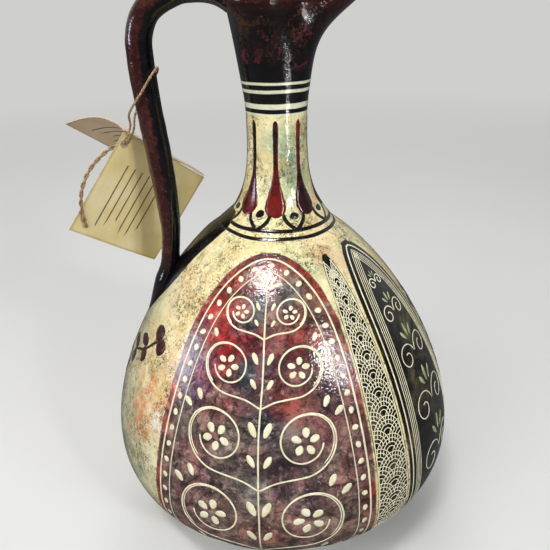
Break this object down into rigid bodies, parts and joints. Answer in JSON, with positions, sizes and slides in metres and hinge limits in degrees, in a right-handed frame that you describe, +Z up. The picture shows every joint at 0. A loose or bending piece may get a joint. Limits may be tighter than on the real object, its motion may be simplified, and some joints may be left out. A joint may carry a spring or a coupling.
{
  "type": "pottery vase",
  "caption": "Round-bellied pottery vase of the jug form with a narrow neck, three-lobed mouth, tall rod handle and a folded card tag on a twine loop.",
  "frame": {"origin": "middle of the flat base, on the axis of the vase", "axes": "+Z up along the axis of the vase, +X towards the spout, handle on the -X side, the pictured side faces -Y"},
  "size_m": [0.1897, 0.1714, 0.2602],
  "materials": {
    "body": "painted and varnished, glossy",
    "neck": "painted and varnished, glossy",
    "mouth": "black and dark red, glossy",
    "handle": "mottled brown, glossy",
    "twine": "natural jute",
    "card": "matt parchment-coloured card"
  },
  "bodies": {
    "vase": {"body": "body", "neck": "neck", "mouth": "mouth", "handle": "handle"},
    "twine": {"twine_loop": "twine"},
    "tag_front": {"tag_front_leaf": "card", "twine_tail": "twine"},
    "tag_back": {"tag_back_leaf": "card"}
  },
  "joints": [
    {"name": "tag_swing", "type": "hinge", "parent": "vase", "child": "twine", "pos_m": [-0.0494, 0, 0.2252], "axis": [0, 1, 0], "range_deg": [-4, 45]},
    {"name": "tag_turn", "type": "hinge", "parent": "twine", "child": "tag_front", "pos_m": [-0.068, 0.0019, 0.19329], "axis": [-0.6341, 0.7526, 0.1776], "range_deg": [-15, 15]},
    {"name": "tag_fold", "type": "hinge", "parent": "tag_front", "child": "tag_back", "pos_m": [-0.0672, 0.0012, 0.1991], "axis": [0.5562, 0.6035, -0.5713], "range_deg": [-50, 40]}
  ]
}
